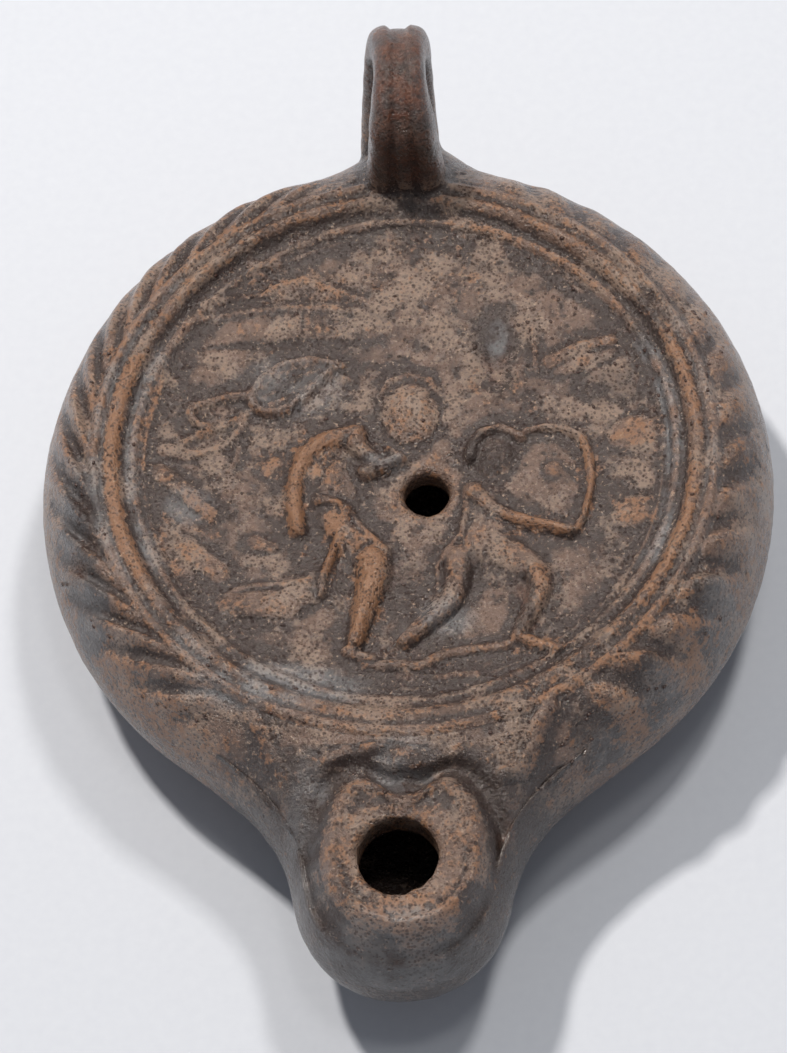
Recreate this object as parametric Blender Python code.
"""Roman discus lamp of mould-made terracotta: hollow, and fired as one piece.

Metres, +Z up. The origin is the middle of the flat base. The nozzle points along -Y and the
handle stands at +Y. Angles round the lamp start at the nozzle and turn towards +X.
"""
from math import cos, pi, radians, sin

import bmesh
import bpy
import numpy as np

MM = 0.001

# Body
BODY_RADIUS = 42.5 * MM
WIDEST_HEIGHT = 14.2 * MM
SHOULDER_RISE = 11.7 * MM
SHOULDER_RUN = 9.5 * MM
BODY_TOP = WIDEST_HEIGHT + SHOULDER_RISE
BASE_RADIUS = 21.5 * MM
BASE_STEP = 1.0 * MM
BASE_CHAMFER = 0.5 * MM
BASE_GROOVE_INSET = 4.0 * MM
BASE_GROOVE_WIDTH = 1.2 * MM
BASE_GROOVE_DEPTH = 0.5 * MM
WALL = 3.0 * MM
FLOOR = 4.0 * MM

# Discus: three rings step in from its rim to the sunk round field, which has the hole for filling.
# Each inset is counted from the ring outside it
RIM_INSET = 6.3 * MM
RIM_RADIUS = BODY_RADIUS - RIM_INSET
RINGS = (
    {"inset": 1.0 * MM, "half_width": 0.80 * MM, "height": 0.60 * MM},
    {"inset": 2.0 * MM, "half_width": 1.05 * MM, "height": 0.65 * MM},
    {"inset": 2.2 * MM, "half_width": 0.75 * MM, "height": 0.50 * MM},
)
FIELD_INSET = 1.6 * MM
FIELD_RADIUS = RIM_RADIUS - sum(ring["inset"] for ring in RINGS) - FIELD_INSET
FIELD_DEPTH = 3.4 * MM
FIELD_HEIGHT = BODY_TOP - FIELD_DEPTH
FIELD_RISE = 1.2 * MM
FILL_HOLE_RADIUS = 2.95 * MM
FILL_HOLE_X = 2.7 * MM
FILL_HOLE_Y = -5.4 * MM

# Egg pattern pressed into the shoulder
EGG_COUNT = 40
EGG_HEIGHT = 0.70 * MM
EGG_HALF_LENGTH = 2.3 * MM
EGG_INSET = 3.9 * MM
EGG_CLEAR_OF_NOZZLE = radians(33)
EGG_CLEAR_OF_HANDLE = radians(14)
EGG_FADE = radians(7)

# Nozzle
NOZZLE_LENGTH = 20.3 * MM
NOZZLE_REACH = BODY_RADIUS + NOZZLE_LENGTH
NOZZLE_RADIUS = 11.9 * MM
NOZZLE_FILLET = 14.0 * MM
NOZZLE_DROP = 2.2 * MM
NOZZLE_TOP = BODY_TOP - NOZZLE_DROP
NOZZLE_RAMP = 0.42
NOZZLE_RAMP_ROUNDING = 1.5 * MM
WICK_HOLE_RADIUS = 4.75 * MM
WICK_HOLE_FROM_TIP = 12.7 * MM
WICK_HOLE_Y = WICK_HOLE_FROM_TIP - NOZZLE_REACH
HEART_RADIUS = 9.0 * MM
HEART_LOBE = 1.3 * MM
HEART_LOBE_ANGLE = radians(35)
HEART_LOBE_SPREAD = radians(24)
HEART_NOTCH = 2.6 * MM
HEART_NOTCH_SPREAD = radians(20)
HEART_RISE = 0.9 * MM
HEART_EDGE = 0.7 * MM
HEART_LIP = 1.9 * MM
HEART_LIP_RISE = 0.3 * MM
BUTTON_RADIUS = 2.4 * MM
BUTTON_LENGTH = 3.0 * MM
BUTTON_HEIGHT = 0.8 * MM
BUTTON_FROM_RIM = 2.6 * MM
BUTTON_Y = -RIM_RADIUS - BUTTON_FROM_RIM

# Handle: a grooved strap bent into a ring, its foot on the rim and its root on a lug behind
HANDLE_LUG_LENGTH = 3.8 * MM
HANDLE_LUG_REACH = BODY_RADIUS + HANDLE_LUG_LENGTH
HANDLE_LUG_RADIUS = 5.0 * MM
HANDLE_LUG_FILLET = 8.0 * MM
HANDLE_SETBACK = 0.2 * MM
HANDLE_Y = BODY_RADIUS - HANDLE_SETBACK
HANDLE_BEND_RISE = 8.4 * MM
HANDLE_Z = BODY_TOP + HANDLE_BEND_RISE
HANDLE_RADIUS = 6.0 * MM
HANDLE_THICKNESS = 4.6 * MM
HANDLE_FLARE = 1.6 * MM
HANDLE_TOP_WIDTH = 5.9 * MM
HANDLE_FOOT_WIDTH = 9.4 * MM
HANDLE_ROOT_WIDTH = 9.6 * MM
HANDLE_ROOT_SHIFT = -1.1 * MM
HANDLE_TAPER = 0.10
HANDLE_FOOT_SINK = 1.7 * MM
HANDLE_FOOT_Z = BODY_TOP - HANDLE_FOOT_SINK
HANDLE_FOOT_FORWARD = 0.4 * MM
HANDLE_ROOT_RISE = 1.8 * MM
HANDLE_ROOT_Z = WIDEST_HEIGHT + HANDLE_ROOT_RISE
HANDLE_ROOT_FORWARD = 4.0 * MM
HANDLE_GROOVE_DEPTH = 0.45 * MM
HANDLE_GROOVE_WIDTH = 0.9 * MM
HANDLE_GROOVE_SPREAD = 1.2 * MM
HANDLE_GROOVES_GATHERED = 0.7
HANDLE_CORNER = 0.62

# The relief is laid out on a grid of 29 squares from the middle of the field to its edge.
# A limb is its joints, half width and height; a mass is middle, radii, turn and height. Heights
# are in millimetres.
GRID_SQUARES = 29.0
MASS_FULLNESS = 0.7
STRIDING_LIMBS = (
    (((-5.5, 3.0), (-10.5, 1.1), (-12.4, -2.5), (-11.9, -8.5)), 1.7, 1.15),
    (((-10.0, 0.8), (-6.2, 1.6), (-3.2, -0.6)), 1.5, 1.05),
    (((-9.5, -7.0), (-5.0, -10.5), (-2.9, -12.8)), 2.4, 1.05),
    (((-2.9, -12.8), (-3.5, -18.4), (-5.3, -23.5)), 1.7, 1.15),
    (((-5.4, -24.0), (-2.4, -25.6)), 1.0, 0.70),
    (((-8.6, -6.5), (-8.4, -12.5), (-9.0, -17.0)), 1.5, 0.85),
    (((-9.4, -15.5), (-13.5, -18.3), (-18.6, -19.0)), 2.0, 0.60),
)
STRIDING_MASSES = (
    ((-9.0, -2.4), (3.8, 6.0), 14.0, 0.85),
    ((0.7, 6.4), (3.2, 3.9), 0.0, 1.20),
    ((-2.6, -1.0), (2.3, 1.7), 20.0, 1.20),
    ((0.8, 2.9), (1.9, 1.9), 0.0, 0.85),
)
CLOAK_LIMBS = (
    (((-18.0, 8.8), (-17.3, 6.5), (-15.5, 5.7), (-13.2, 6.8), (-10.5, 10.2), (-7.6, 12.5)), 1.1, 0.85),
    (((-18.1, 9.5), (-15.2, 11.6), (-11.6, 13.1), (-7.8, 12.7)), 1.2, 0.80),
    (((-18.1, 9.0), (-22.2, 7.8), (-24.2, 6.0), (-22.6, 4.4)), 1.2, 0.65),
    (((-24.9, 1.1), (-22.2, 1.4), (-19.9, 3.1), (-18.4, 5.5)), 1.0, 0.45),
)
CLOAK_MASSES = (
    ((-14.0, 9.2), (5.2, 3.0), 30.0, 0.55),
)
CROUCHING_LIMBS = (
    (((7.8, 1.6), (8.9, 3.1), (11.0, 3.7), (13.6, 3.1)), 1.0, 1.05),
    (((8.6, -3.8), (10.4, -7.2), (12.7, -8.5), (18.4, -10.0)), 1.6, 1.05),
    (((7.5, -10.0), (6.7, -15.5), (6.3, -18.9)), 2.3, 1.00),
    (((6.1, -19.2), (3.2, -21.2), (0.3, -24.2)), 1.5, 0.95),
    (((9.5, -10.5), (13.0, -12.8), (15.9, -16.0)), 2.2, 0.95),
    (((15.4, -16.5), (13.8, -20.5), (12.9, -23.0)), 1.5, 0.95),
    (((13.0, -23.4), (15.0, -24.3), (17.9, -25.1)), 1.0, 0.70),
)
CROUCHING_MASSES = (
    ((11.1, 0.9), (3.1, 3.1), 0.0, 1.00),
    ((9.4, -7.2), (3.5, 5.6), 0.0, 0.85),
)
SHIELD_MIDDLE = (15.0, -3.3)
SHIELD_RADII = (6.2, 7.1)
SHIELD_RIM = 1.0
SHIELD_HEIGHT = 0.60
GROUND_LIMBS = (
    (((-5.0, -25.9), (0.4, -25.7), (4.5, -24.9), (12.5, -24.6)), 1.1, 0.50),
    (((-28.0, -1.5), (-25.2, -3.6), (-22.2, -6.6)), 1.6, 0.40),
    (((-24.3, -11.6), (-20.8, -14.2)), 2.0, 0.40),
)

# Facets. The outer skin has three columns to each egg, and the inner skin half as many. Rings of
# the upper side lie at shares of each stretch; a ring of the field also names its column step
COLUMNS = 3 * EGG_COUNT
NOZZLE_ANGLE = radians(30)
TIP_COLUMNS = 29
TOP_START = radians(33)
BOW_CLEARANCE = 1.0 * MM
SHOULDER_SHARES = (0.27, 0.60, 0.85, 1.0)
FIELD_SHARES = ((1, 0.055), (1, 0.11), (1, 0.165), (1, 0.22), (1, 0.275), (1, 0.33), (1, 0.385),
                (1, 0.44), (1, 0.495), (2, 0.55), (2, 0.605), (2, 0.66), (2, 0.72), (4, 0.79),
                (4, 0.86), (4, 0.93), (4, 1.0))
HEART_SHARES = ((0.68, 0.0, 0.0), (0.36, 0.0, 0.0), (0.0, HEART_EDGE, 0.0), (0.0, 0.0, 0.0),
                (0.0, -HEART_LIP / 2.0, 0.0), (0.0, -HEART_LIP, 0.0), (0.0, -HEART_LIP, 0.5),
                (0.0, 0.0, 1.0))
UNDERSIDE_TURNS = (16, 32, 48, 64, 80)
INNER_SIDE_TURNS = (0, 18, 36)
INNER_UNDERSIDE_TURNS = (25, 50, 90)
INNER_FIELD_SHARES = ((1, 0.35), (1, 0.7), (2, 1.0))
INNER_NOZZLE_SHARES = ((1.0, 0.0, 0.5), (1.0, 0.0, 1.0))
HANDLE_SECTION_POINTS = 22
HANDLE_BEND_STATIONS = 13
SEAM_WELD = 0.02 * MM

SLIP = ((0.105, 0.068, 0.050, 1.0), 0.55, 0.0)


def smoothstep(share):
    """Rise from 0 to 1 with level ends."""
    share = np.clip(share, 0.0, 1.0)
    return share * share * (3.0 - 2.0 * share)


def rounded_minimum(first, second, reach):
    """The smaller of two values, rounded off where they come within reach of each other."""
    overlap = np.maximum(reach - np.abs(first - second), 0.0) / reach
    return np.minimum(first, second) - overlap * overlap * reach / 4.0


def bump(offset, half_width):
    """A smooth ridge one unit high across its middle line."""
    return np.clip(1.0 - (offset / half_width) ** 2, 0.0, None) ** 2


def outline_distance(x, y, with_lug=True):
    """Distance in plan to the lamp's widest outline, negative inside it."""
    body = np.hypot(x, y) - BODY_RADIUS
    spine = np.clip(y, NOZZLE_RADIUS - NOZZLE_REACH, 0.0)
    nozzle = np.hypot(x, y - spine) - NOZZLE_RADIUS
    outline = rounded_minimum(body, nozzle, NOZZLE_FILLET)
    if with_lug:
        spine = np.clip(y, 0.0, HANDLE_LUG_REACH - HANDLE_LUG_RADIUS)
        lug = np.hypot(x, y - spine) - HANDLE_LUG_RADIUS
        outline = rounded_minimum(outline, lug, HANDLE_LUG_FILLET)
    return outline


def outline_radius(angles, inset, with_lug=True):
    """How far out the outline, drawn in by inset, lies along each angle."""
    low = np.zeros_like(angles)
    high = np.full_like(angles, 1.5 * NOZZLE_REACH)
    for _ in range(40):
        middle = (low + high) / 2.0
        distance = outline_distance(middle * np.sin(angles), -middle * np.cos(angles), with_lug)
        outside = distance > -inset
        high = np.where(outside, middle, high)
        low = np.where(outside, low, middle)
    return (low + high) / 2.0


def heart_radius(angles):
    """Edge of the heart-shaped frame round the wick hole; angle 0 points back to the discus."""
    turn = np.abs(np.arctan2(np.sin(angles), np.cos(angles)))
    lobe = HEART_LOBE * np.exp(-((turn - HEART_LOBE_ANGLE) / HEART_LOBE_SPREAD) ** 2)
    notch = HEART_NOTCH * np.exp(-(turn / HEART_NOTCH_SPREAD) ** 4)
    return HEART_RADIUS + lobe - notch


def plain_top(x, y, with_lug=True):
    """Height of the upper side without any ornament."""
    inset = -outline_distance(x, y, with_lug)
    drawn_in = np.clip(1.0 - inset / SHOULDER_RUN, 0.0, 1.0)
    shoulder = WIDEST_HEIGHT + SHOULDER_RISE * np.sqrt(1.0 - drawn_in ** 2)
    ramp_start = WICK_HOLE_Y + HEART_RADIUS
    ramp = NOZZLE_TOP + NOZZLE_RAMP * np.maximum(y - ramp_start, 0.0)
    top = rounded_minimum(shoulder, ramp, NOZZLE_RAMP_ROUNDING)
    radius = np.hypot(x, y)
    field = FIELD_HEIGHT + FIELD_RISE * (radius / FIELD_RADIUS) ** 2
    sunk = smoothstep((RIM_RADIUS - radius) / (RIM_RADIUS - FIELD_RADIUS))
    return top * (1.0 - sunk) + field * sunk


def ring_radii():
    """Middle radius of each ring of the discus, from the rim inwards."""
    return RIM_RADIUS - np.cumsum([ring["inset"] for ring in RINGS])


def egg_band(x, y):
    """Rounded eggs pressed side by side along the shoulder, faded out at nozzle and handle."""
    angles = np.arctan2(x, -y)
    place = angles / (2.0 * pi) * EGG_COUNT
    across = np.cos(pi * (place - np.round(place))) ** 2
    inset = -outline_distance(x, y, with_lug=False)
    along = np.clip(1.0 - ((inset - EGG_INSET) / EGG_HALF_LENGTH) ** 2, 0.0, 1.0)
    from_nozzle = smoothstep((np.abs(angles) - EGG_CLEAR_OF_NOZZLE) / EGG_FADE)
    from_handle = smoothstep((pi - np.abs(angles) - EGG_CLEAR_OF_HANDLE) / EGG_FADE)
    return EGG_HEIGHT * across * along * from_nozzle * from_handle


def nozzle_ornament(x, y):
    """The heart-shaped frame with its lip, and the button between it and the discus."""
    back = y - WICK_HOLE_Y
    inside = heart_radius(np.arctan2(x, back)) - np.hypot(x, back)
    frame = HEART_RISE * smoothstep(inside / HEART_EDGE + 1.0)
    lip = HEART_LIP_RISE * bump(inside - HEART_LIP / 2.0, HEART_LIP / 2.0)
    along = y - np.clip(y, BUTTON_Y - BUTTON_LENGTH, BUTTON_Y)
    button = BUTTON_HEIGHT * bump(np.hypot(x, along), BUTTON_RADIUS)
    return frame + lip + button


def limb(x, y, points, half_width, height):
    """A rounded ridge along a few joints, given on the figures' grid."""
    square = FIELD_RADIUS / GRID_SQUARES
    nearest = np.full_like(x, 1.0)
    for (ax, ay), (bx, by) in zip(points, points[1:]):
        dx, dy = (bx - ax) * square, (by - ay) * square
        px, py = x - ax * square, y - ay * square
        share = np.clip((px * dx + py * dy) / (dx * dx + dy * dy), 0.0, 1.0)
        nearest = np.minimum(nearest, np.hypot(px - share * dx, py - share * dy))
    return height * MM * np.clip(1.0 - (nearest / (half_width * square)) ** 2, 0.0, 1.0)


def mass(x, y, middle, radii, turn, height):
    """A low rounded mound, such as a chest or a head, given on the figures' grid."""
    square = FIELD_RADIUS / GRID_SQUARES
    px, py = x - middle[0] * square, y - middle[1] * square
    along = px * cos(radians(turn)) + py * sin(radians(turn))
    across = py * cos(radians(turn)) - px * sin(radians(turn))
    reach = (along / (radii[0] * square)) ** 2 + (across / (radii[1] * square)) ** 2
    return height * MM * np.clip(1.0 - reach, 0.0, 1.0) ** MASS_FULLNESS


def shield(x, y):
    """The round shield of the crouching figure: a shallow dome with a raised rim."""
    square = FIELD_RADIUS / GRID_SQUARES
    across = (x / square - SHIELD_MIDDLE[0]) / SHIELD_RADII[0]
    along = (y / square - SHIELD_MIDDLE[1]) / SHIELD_RADII[1]
    reach = np.hypot(across, along)
    dome = SHIELD_HEIGHT * np.clip(1.0 - reach ** 2, 0.0, 1.0) ** 0.5
    rim = SHIELD_HEIGHT * bump((1.0 - reach) * SHIELD_RADII[0], SHIELD_RIM)
    return MM * np.maximum(dome, rim)


def figures(x, y):
    """Relief of two fighting figures, a striding one with a flying cloak and a crouching one."""
    height = shield(x, y)
    for limbs in (STRIDING_LIMBS, CLOAK_LIMBS, CROUCHING_LIMBS, GROUND_LIMBS):
        for points, half_width, rise in limbs:
            height = np.maximum(height, limb(x, y, points, half_width, rise))
    for masses in (STRIDING_MASSES, CLOAK_MASSES, CROUCHING_MASSES):
        for middle, radii, turn, rise in masses:
            height = np.maximum(height, mass(x, y, middle, radii, turn, rise))
    return height


def outer_top(x, y):
    """Height of the upper side with its mouldings, eggs, frame and figures."""
    radius = np.hypot(x, y)
    height = plain_top(x, y) + egg_band(x, y) + nozzle_ornament(x, y) + figures(x, y)
    for middle, ring in zip(ring_radii(), RINGS):
        height = height + ring["height"] * bump(radius - middle, ring["half_width"])
    return height


def inner_top(x, y):
    """Height of the oil chamber's ceiling, one wall below the plain upper side."""
    inset = -outline_distance(x, y, with_lug=False) - WALL
    drawn_in = np.clip(1.0 - inset / SHOULDER_RUN, 0.0, 1.0)
    rounded = WIDEST_HEIGHT + (SHOULDER_RISE - WALL) * np.sqrt(1.0 - drawn_in ** 2)
    return np.minimum(rounded, plain_top(x, y, with_lug=False) - WALL)


def add_loop(bm, x, y, z):
    """Vertices of one closed loop; z is a height or a height for each point."""
    heights = np.broadcast_to(z, np.shape(x))
    return [bm.verts.new(point) for point in zip(x, y, heights)]


def join_loops(bm, first, second):
    """Faces between two closed loops of the same length, or of double length."""
    if len(first) < len(second):
        first, second = second, first
    ratio = len(first) // len(second)
    if ratio * len(second) != len(first):
        raise ValueError("loops of %d and %d points do not match" % (len(first), len(second)))
    count = len(first)
    for place, vertex in enumerate(second):
        following = second[(place + 1) % len(second)]
        start = place * ratio
        fan = [first[(start + step) % count] for step in range(ratio + 1)]
        if ratio == 1:
            bm.faces.new((fan[0], fan[1], following, vertex))
        else:
            bm.faces.new((fan[0], fan[1], vertex))
            bm.faces.new((fan[1], following, vertex))
            bm.faces.new((fan[1], fan[2], following))


def tip_angles(count):
    """Angles from one nozzle corner to the other, evenly spaced along the nozzle's outline."""
    fine = np.linspace(-NOZZLE_ANGLE, NOZZLE_ANGLE, 801)
    radius = outline_radius(fine, 0.0)
    x, y = radius * np.sin(fine), -radius * np.cos(fine)
    walked = np.concatenate(([0.0], np.cumsum(np.hypot(np.diff(x), np.diff(y)))))
    return np.interp(np.linspace(0.0, walked[-1], count), walked, fine)


def skin_angles(columns, tip_columns):
    """The angles of the body's columns and of the whole outline's, the nozzle tip included."""
    body = np.arange(columns) * 2.0 * pi / columns
    body = np.where(body > pi + 1e-9, body - 2.0 * pi, body)
    sector = int(round(NOZZLE_ANGLE * columns / (2.0 * pi)))
    round_body = body[sector:columns - sector + 1]
    tip = tip_angles(tip_columns)
    outline = np.concatenate((tip[tip_columns // 2:-1], round_body, tip[1:tip_columns // 2]))
    return body, outline, sector


def circle_loop(bm, angles, middle, radius, height):
    """A circle in plan laid on a height function or at a fixed height."""
    x = middle[0] + radius * np.sin(angles)
    y = middle[1] - radius * np.cos(angles)
    z = height(x, y) if callable(height) else height
    return add_loop(bm, x, y, z)


def outline_loop(bm, angles, inset, height, with_lug):
    """The outline drawn in by inset, at one height."""
    radius = outline_radius(angles, inset, with_lug)
    return add_loop(bm, radius * np.sin(angles), -radius * np.cos(angles), height)


def coordinates(loop):
    """Plan coordinates of a loop's vertices."""
    x = np.array([vertex.co.x for vertex in loop])
    y = np.array([vertex.co.y for vertex in loop])
    return x, y


def make_top(bm, edge, angles, sector, tip_columns, height, rim, shoulder_shares, rings,
             field_shares, nozzle_shares):
    """Fill in the upper side from its edge loop, and return the loops of the two holes.

    The upper side is two fans of rings: one round the fill hole, and one round the wick hole.
    They meet along a bow across the neck of the nozzle, just outside the circle of the rim.
    """
    columns = len(angles)
    edge_radius = np.hypot(*coordinates(edge))
    half_tip = tip_columns // 2
    inner_angles = angles[np.r_[0:sector, columns - sector + 1:columns]]
    corner_radius = edge_radius[half_tip]
    bow_rise = (corner_radius - rim - BOW_CLEARANCE) * (inner_angles / NOZZLE_ANGLE) ** 2
    bow_radius = rim + BOW_CLEARANCE + bow_rise
    bow = circle_loop(bm, inner_angles, (0.0, 0.0), bow_radius, height)
    body_edge = bow[:sector] + edge[half_tip:len(edge) - half_tip + 1] + bow[sector:]

    # Body: from its edge over the shoulder and the mouldings to the fill hole
    edge_x, edge_y = coordinates(body_edge)
    body_radius = np.hypot(edge_x, edge_y)
    loop = body_edge
    for share in shoulder_shares:
        radius = body_radius + (rim - body_radius) * share
        following = circle_loop(bm, angles, (0.0, 0.0), radius, height)
        join_loops(bm, loop, following)
        loop = following
    for radius in rings:
        following = circle_loop(bm, angles[::2], (0.0, 0.0), radius, height)
        join_loops(bm, loop, following)
        loop = following
    for step, share in field_shares:
        middle = (FILL_HOLE_X * share, FILL_HOLE_Y * share)
        radius = FIELD_RADIUS + (FILL_HOLE_RADIUS - FIELD_RADIUS) * share
        following = circle_loop(bm, angles[::step], middle, radius, height)
        join_loops(bm, loop, following)
        loop = following
    fill_edge = loop

    # Nozzle: from its edge over the heart-shaped frame to the wick hole
    tip_right, tip_left = edge[:half_tip + 1], edge[len(edge) - half_tip:]
    nozzle_edge = tip_right + bow[:sector][::-1] + bow[sector:][::-1] + tip_left
    edge_x, edge_y = coordinates(nozzle_edge)
    edge_turn = np.unwrap(np.arctan2(edge_x, edge_y - WICK_HOLE_Y), period=2.0 * pi)
    even_turn = edge_turn[0] - np.arange(len(edge_turn)) * 2.0 * pi / len(edge_turn)
    edge_radius = np.hypot(edge_x, edge_y - WICK_HOLE_Y)
    loop = nozzle_edge
    for place, (outer_share, offset, inner_share) in enumerate(nozzle_shares, 1):
        turn = edge_turn + (even_turn - edge_turn) * place / len(nozzle_shares)
        heart = heart_radius(turn) + offset
        radius = heart + (edge_radius - heart) * outer_share
        radius = radius + (WICK_HOLE_RADIUS - radius) * inner_share
        x, y = radius * np.sin(turn), WICK_HOLE_Y + radius * np.cos(turn)
        following = add_loop(bm, x, y, height(x, y))
        join_loops(bm, loop, following)
        loop = following
    return fill_edge, loop


def moulding_radii():
    """Radii that catch the crest and both feet of each ring, from the rim inwards."""
    radii = []
    for middle, ring in zip(ring_radii(), RINGS):
        radii += [middle + ring["half_width"], middle, middle - ring["half_width"]]
    return sorted(radii + [FIELD_RADIUS], reverse=True)


def make_base(bm, loop, angles):
    """Step, chamfer and incised circle of the base, closed by a flat face."""
    groove = BASE_RADIUS - BASE_GROOVE_INSET
    half_groove = BASE_GROOVE_WIDTH / 2.0
    profile = (
        (BASE_RADIUS, BASE_STEP),
        (BASE_RADIUS, BASE_CHAMFER),
        (BASE_RADIUS - BASE_CHAMFER, 0.0),
        (groove + half_groove, 0.0),
        (groove, BASE_GROOVE_DEPTH),
        (groove - half_groove, 0.0),
    )
    for radius, height in profile:
        following = circle_loop(bm, angles, (0.0, 0.0), radius, height)
        join_loops(bm, loop, following)
        loop = following
    bm.faces.new(loop)


def make_underside(bm, loop, angles, inset, end_radius, end_height, turns):
    """Curve down and in from the widest line along a quarter ellipse, and return the last loop."""
    edge = outline_radius(angles, inset, inset == 0.0)
    for turn in np.radians(turns):
        radius = end_radius + (edge - end_radius) * cos(turn)
        height = WIDEST_HEIGHT + (end_height - WIDEST_HEIGHT) * sin(turn)
        following = add_loop(bm, radius * np.sin(angles), -radius * np.cos(angles), height)
        join_loops(bm, loop, following)
        loop = following
    return loop


def make_outer_skin(bm):
    """The outside of body and nozzle; returns the loops of the two holes."""
    angles, outline, sector = skin_angles(COLUMNS, TIP_COLUMNS)
    sides = []
    for turn in np.linspace(0.0, TOP_START, 3):
        inset = SHOULDER_RUN * (1.0 - cos(turn))
        height = WIDEST_HEIGHT + SHOULDER_RISE * sin(turn)
        sides.append(outline_loop(bm, outline, inset, height, True))
        if len(sides) > 1:
            join_loops(bm, sides[-2], sides[-1])
    holes = make_top(bm, sides[-1], angles, sector, TIP_COLUMNS, outer_top, RIM_RADIUS,
                     SHOULDER_SHARES, moulding_radii(), FIELD_SHARES, HEART_SHARES)

    half_outline = outline[::2]
    loop = make_underside(bm, sides[0], half_outline, 0.0, BASE_RADIUS, BASE_STEP,
                          UNDERSIDE_TURNS)
    make_base(bm, loop, outline[::4])
    return holes


def make_inner_skin(bm):
    """The oil chamber and the wick channel; returns the loops of the two holes."""
    tip_columns = TIP_COLUMNS // 2 + 1
    angles, outline, sector = skin_angles(COLUMNS // 2, tip_columns)
    sides = []
    for turn in np.radians(INNER_SIDE_TURNS):
        inset = WALL + SHOULDER_RUN * (1.0 - cos(turn))
        height = WIDEST_HEIGHT + (SHOULDER_RISE - WALL) * sin(turn)
        sides.append(outline_loop(bm, outline, inset, height, False))
        if len(sides) > 1:
            join_loops(bm, sides[-2], sides[-1])
    holes = make_top(bm, sides[-1], angles, sector, tip_columns, inner_top, RIM_RADIUS - WALL,
                     (1.0,), (FIELD_RADIUS,), INNER_FIELD_SHARES, INNER_NOZZLE_SHARES)

    floor = make_underside(bm, sides[0], outline, WALL, BASE_RADIUS - WALL, FLOOR,
                           INNER_UNDERSIDE_TURNS)
    bm.faces.new(floor)
    return holes


def handle_path():
    """The strap's stations from foot to root: middle, outward normal, sideways shift, half width,
    flare, and how far the grooves have run together, which they do over the top.
    """
    points, widths, flares, gathered = [], [], [], []
    for share in (1.0, 0.66, 0.33):
        points.append((HANDLE_Y - HANDLE_RADIUS - HANDLE_FOOT_FORWARD * share ** 2,
                       HANDLE_Z + (HANDLE_FOOT_Z - HANDLE_Z) * share))
        middle_width = (HANDLE_TOP_WIDTH + HANDLE_FOOT_WIDTH) / 2.0
        widths.append(middle_width + (HANDLE_FOOT_WIDTH - middle_width) * share)
        flares.append(share ** 2)
        gathered.append(0.0)
    for turn in np.linspace(0.0, pi, HANDLE_BEND_STATIONS):
        points.append((HANDLE_Y - HANDLE_RADIUS * cos(turn), HANDLE_Z + HANDLE_RADIUS * sin(turn)))
        end_width = HANDLE_FOOT_WIDTH if turn < pi / 2.0 else HANDLE_ROOT_WIDTH
        widths.append(HANDLE_TOP_WIDTH + (end_width - HANDLE_TOP_WIDTH) / 2.0 * cos(turn) ** 2)
        flares.append(0.0)
        gathered.append(sin(turn))
    for share in (0.25, 0.5, 0.75, 1.0):
        points.append((HANDLE_Y + HANDLE_RADIUS - HANDLE_ROOT_FORWARD * share ** 2,
                       HANDLE_Z + (HANDLE_ROOT_Z - HANDLE_Z) * share))
        middle_width = (HANDLE_TOP_WIDTH + HANDLE_ROOT_WIDTH) / 2.0
        widths.append(middle_width + (HANDLE_ROOT_WIDTH - middle_width) * share)
        flares.append(share)
        gathered.append(0.0)
    points = np.array(points)
    run = np.gradient(points, axis=0)
    run /= np.linalg.norm(run, axis=1)[:, None]
    normals = np.stack((-run[:, 1], run[:, 0]), axis=1)
    shifts = HANDLE_ROOT_SHIFT * smoothstep(np.linspace(-0.4, 1.0, len(points)))
    return zip(points, normals, shifts, np.array(widths) / 2.0, flares, gathered)


def handle_section(half_width, flare, gathered):
    """Strap section as (across, outward) pairs: rounded corners, two grooves on the outer face."""
    turns = (np.arange(HANDLE_SECTION_POINTS) + 0.5) * 2.0 * pi / HANDLE_SECTION_POINTS
    across = np.sign(np.cos(turns)) * np.abs(np.cos(turns)) ** HANDLE_CORNER
    outward = np.sign(np.sin(turns)) * np.abs(np.sin(turns)) ** HANDLE_CORNER
    across = across * half_width * (1.0 - HANDLE_TAPER * outward)
    spread = HANDLE_GROOVE_SPREAD * (1.0 - HANDLE_GROOVES_GATHERED * gathered)
    grooves = bump(across - spread, HANDLE_GROOVE_WIDTH) + bump(across + spread, HANDLE_GROOVE_WIDTH)
    outer = outward * HANDLE_THICKNESS / 2.0 - HANDLE_GROOVE_DEPTH * np.clip(grooves, 0.0, 1.0)
    inner = outward * (HANDLE_THICKNESS / 2.0 + HANDLE_FLARE * flare)
    return across, np.where(outward > 0.0, outer, inner)


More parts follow.
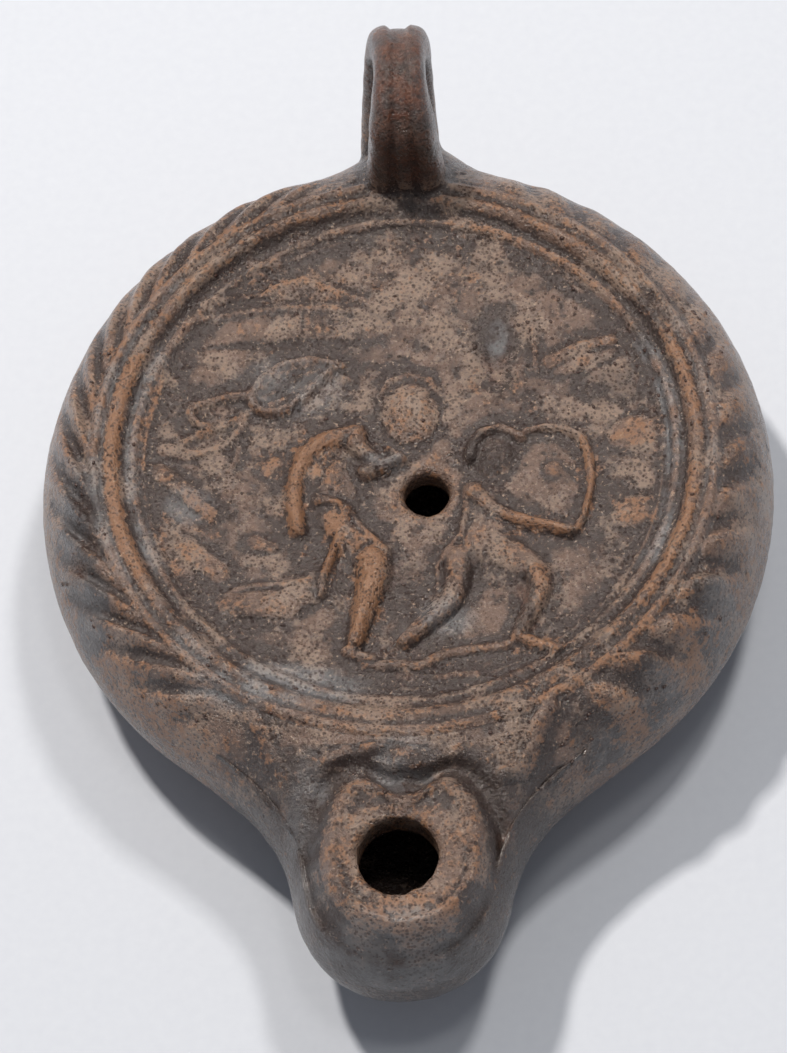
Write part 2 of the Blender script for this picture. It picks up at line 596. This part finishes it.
def make_handle(bm):
    """The closed strap of the handle, with both ends buried in the body's wall."""
    loops = []
    for point, normal, shift, half_width, flare, gathered in handle_path():
        across, outward = handle_section(half_width, flare, gathered)
        y = point[0] + normal[0] * outward
        z = point[1] + normal[1] * outward
        loops.append(add_loop(bm, across + shift, y, z))
    for first, second in zip(loops, loops[1:]):
        join_loops(bm, first, second)
    bm.faces.new(loops[0])
    bm.faces.new(loops[-1])


def terracotta():
    """Fired clay under a thin dark slip, half matt."""
    colour, roughness, metallic = SLIP
    material = bpy.data.materials.new("slipped_terracotta")
    material.use_nodes = True
    shader = material.node_tree.nodes["Principled BSDF"]
    shader.inputs["Base Color"].default_value = colour
    shader.inputs["Roughness"].default_value = roughness
    shader.inputs["Metallic"].default_value = metallic
    material.diffuse_color = colour
    return material


def new_object(name, build):
    """A closed smooth-shaded mesh object whose faces point outwards."""
    bm = bmesh.new()
    build(bm)
    bmesh.ops.recalc_face_normals(bm, faces=bm.faces)
    mesh = bpy.data.meshes.new(name)
    bm.to_mesh(mesh)
    bm.free()
    mesh.shade_smooth()
    mesh.set_sharp_from_angle(angle=radians(40))
    thing = bpy.data.objects.new(name, mesh)
    bpy.context.scene.collection.objects.link(thing)
    return thing


def make_body(bm):
    """Outer skin and inner skin, joined by the walls of the fill hole and the wick hole."""
    for outer_hole, inner_hole in zip(make_outer_skin(bm), make_inner_skin(bm)):
        join_loops(bm, outer_hole, inner_hole)


def make_lamp():
    """Body and handle, made one by a union."""
    lamp = new_object("oil_lamp", make_body)
    lamp.data.materials.append(terracotta())
    handle = new_object("handle_strap", make_handle)
    handle.hide_render = True
    handle.display_type = "WIRE"
    union = lamp.modifiers.new("handle", "BOOLEAN")
    union.operation = "UNION"
    union.solver = "EXACT"
    union.object = handle
    weld = lamp.modifiers.new("clean_seam", "WELD")
    weld.merge_threshold = SEAM_WELD
    return lamp


def main():
    """Clear the scene and build the lamp."""
    for thing in list(bpy.data.objects):
        bpy.data.objects.remove(thing, do_unlink=True)
    make_lamp()


main()
